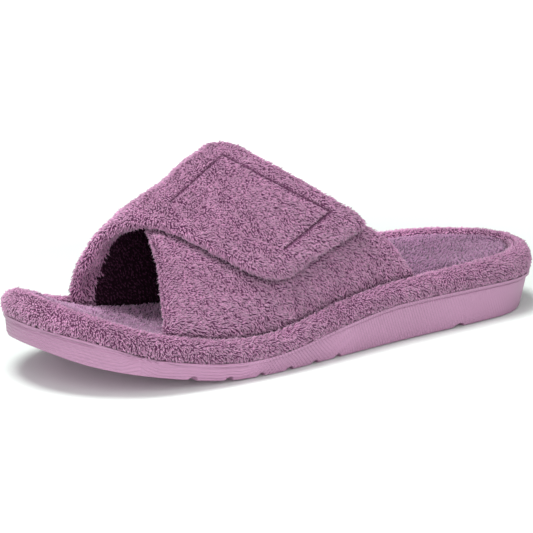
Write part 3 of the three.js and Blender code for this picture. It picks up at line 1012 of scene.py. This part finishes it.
for piece in (upper, footbed, outer_pile, top_pile, inner_pile, rim_outer_pile, rim_inner_pile):
    dress(piece, mauve)
for piece in (insole, insole_pile):
    dress(piece, plush)
dress(lining_pile, lining)
dress(seam_thread, thread)

upper.data.materials.append(lining)
centres = np.array([face.center for face in upper.data.polygons])
facing = np.array([face.normal for face in upper.data.polygons])
inside = ~turned_in(centres, facing)
upper.data.polygons.foreach_set("material_index", inside.astype(int))
print("lined faces:", inside.sum())

# %% [markdown]
# ## Where each point of the rubber lies
#
# The sole's side carries fine ribs and a narrow lip, both cut into the mould. They follow the
# sole and not the room, so each point of the outsole stores three lengths in mm: how far along
# the sole it lies, how high over the underside, and how far below the top edge. The underside
# and the top edge curve up at the toe, so their heights are read off slice by slice.

# %% Along the sole, above the tread and below the edge
SLICE = 3
EDGE_WINDOW = 9
EDGE_DROP = 2 * MM

cast_points = points_of(outsole.data)
heights = cast_points[:, 2] / MM
along_sole = (cast_points[:, 1] - cast_points[:, 1].min()) / MM
slices = np.round(along_sole / SLICE).astype(int)
steps = np.unique(slices)


def edge_marks(side):
    """Where the top edge runs on one side: places along the sole, and heights."""
    marks = []
    for k in steps:
        row = (slices == k) & side
        window = side & (np.abs(along_sole - k * SLICE) < EDGE_WINDOW)
        if row.any() and cast_points[row, 2].max() > cast_points[window, 2].max() - EDGE_DROP:
            top = np.flatnonzero(row)[cast_points[row, 2].argmax()]
            marks.append((along_sole[top], heights[top]))
    return np.array(sorted(marks))


lowest = [heights[slices == k].min() for k in steps]
above_tread = heights - np.interp(along_sole, steps * SLICE, lowest)
outer_side = cast_points[:, 0] > cast_points[:, 0].mean()
below_edge = np.zeros(len(cast_points))
for side in (outer_side, ~outer_side):
    below_edge[side] = np.interp(along_sole[side], *edge_marks(side).T) - heights[side]
store(outsole.data, "along_sole", along_sole)
store(outsole.data, "above_tread", above_tread)
store(outsole.data, "below_edge", below_edge)
print("rubber up to mm:", round(above_tread.max(), 1))

# %% [markdown]
# ## The rubber's moulded ribs
#
# Lines run along the edge at the toe, cross each other at the ball, and stand steeply at the
# arch, where they fade out before the heel. They are far finer than the sole's edges, so a bump
# does them. Each set of ribs is a sine wave of the two stored lengths, and fades in and out
# along the sole. A node group adds the waves up and puts out their height.

# %% The ribs group
RIBS = [
    {"pitch": 1.4, "along": 0, "up": 1, "begins": (-2, 3), "ends": (95, 75)},
    {"pitch": 1.9, "along": 1, "up": 1, "begins": (75, 90), "ends": (140, 115)},
    {"pitch": 1.9, "along": 1, "up": -1, "begins": (75, 90), "ends": (140, 115)},
    {"pitch": 1.5, "along": 1, "up": 0.5, "begins": (115, 140), "ends": (240, 170)},
]


def rib_group():
    """The height of the ribs. Begins and ends go from where a set is gone to where it is full."""
    group = bpy.data.node_groups.new("ribs", "ShaderNodeTree")
    group.interface.new_socket("Depth", in_out="INPUT", socket_type="NodeSocketFloat")
    group.interface.new_socket("Height", in_out="OUTPUT", socket_type="NodeSocketFloat")
    given = group.nodes.new("NodeGroupInput").outputs
    result = group.nodes.new("NodeGroupOutput").inputs
    along = attribute(group, "along_sole")
    high = attribute(group, "above_tread")
    total = 0
    for rib in RIBS:
        lengthwise = computed(group, "MULTIPLY", along, rib["along"])
        upwards = computed(group, "MULTIPLY", high, rib["up"])
        spot = computed(group, "ADD", lengthwise, upwards)
        wave = computed(group, "SINE", computed(group, "MULTIPLY", spot, 2 * pi / rib["pitch"]))
        begun = rescaled(group, along, rib["begins"])
        shown = computed(group, "MULTIPLY", begun, rescaled(group, along, rib["ends"]))
        total = computed(group, "ADD", total, computed(group, "MULTIPLY", wave, shown))
    feed(group, result, {"Height": computed(group, "MULTIPLY", total, given["Depth"])})
    print("ribs group nodes:", len(group.nodes))
    return group


# %% [markdown]
# ## The rubber
#
# Foamed rubber has a soft satin face with faint mottling. A curve along the sole paints it
# a little lighter at the ball than at the toe and the heel: painted light. Another curve, of
# the length below the top edge, adds the lip: a step, a thin groove under it, and then the side.

# %% Satin rubber
DARKER = (0.525, 0.265, 0.43, 1)
LIGHTER = (0.585, 0.305, 0.49, 1)
MOTTLE_SCALE = 45
MOTTLE_DETAIL = 6
SOLE_LENGTH = 262
# Painted light along the sole: each stop is a place from toe to heel, and how light it is.
PAINTED_LIGHT_CURVE = [(0, 0.38), (0.3, 0.51), (0.6, 0.465), (1, 0.39)]
PAINTED_LIGHT_GAIN = 2
LIP_LENGTH = 10
LIP = [(0, 0.7), (0.11, 0.7), (0.16, 0.0), (0.22, 0.5), (1, 0.5)]
LIP_GAIN = 6
RELIEF = 0.15 * MM

rubber = new_material("sole_rubber_satin")
tree = rubber.node_tree
mottle = noise(tree, MOTTLE_SCALE, MOTTLE_DETAIL)
# Painted light: the rubber is made lighter at the ball than at the toe and the heel.
share_along = computed(tree, "DIVIDE", attribute(tree, "along_sole"), SOLE_LENGTH)
painted_light = computed(tree, "MULTIPLY", curve(tree, share_along, PAINTED_LIGHT_CURVE), PAINTED_LIGHT_GAIN)
share_below = computed(tree, "DIVIDE", attribute(tree, "below_edge"), LIP_LENGTH)
lip = computed(tree, "MULTIPLY", curve(tree, share_below, LIP), LIP_GAIN)
ribs = add_node(tree, "Group", {"Depth": 1}, node_tree=rib_group()).outputs["Height"]
relief = add_node(tree, "Bump", {"Height": computed(tree, "ADD", ribs, lip), "Distance": RELIEF})
feed(tree, principled(rubber).inputs, {
    "Base Color": brightened(tree, mixed(tree, mottle, DARKER, LIGHTER), painted_light),
    "Roughness": rescaled(tree, mottle, target=(0.42, 0.58)),
    "Specular IOR Level": 0.4,
    "Normal": relief.outputs["Normal"],
})
dress(outsole, rubber)
print("material:", rubber.name)

# %% Sizes, and the end
boxes = {"cad": cad_box, "visual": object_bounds()}
for name, (low, high) in boxes.items():
    print(name, "size in mm:", [round((b - a) / MM, 1) for a, b in zip(low, high)])
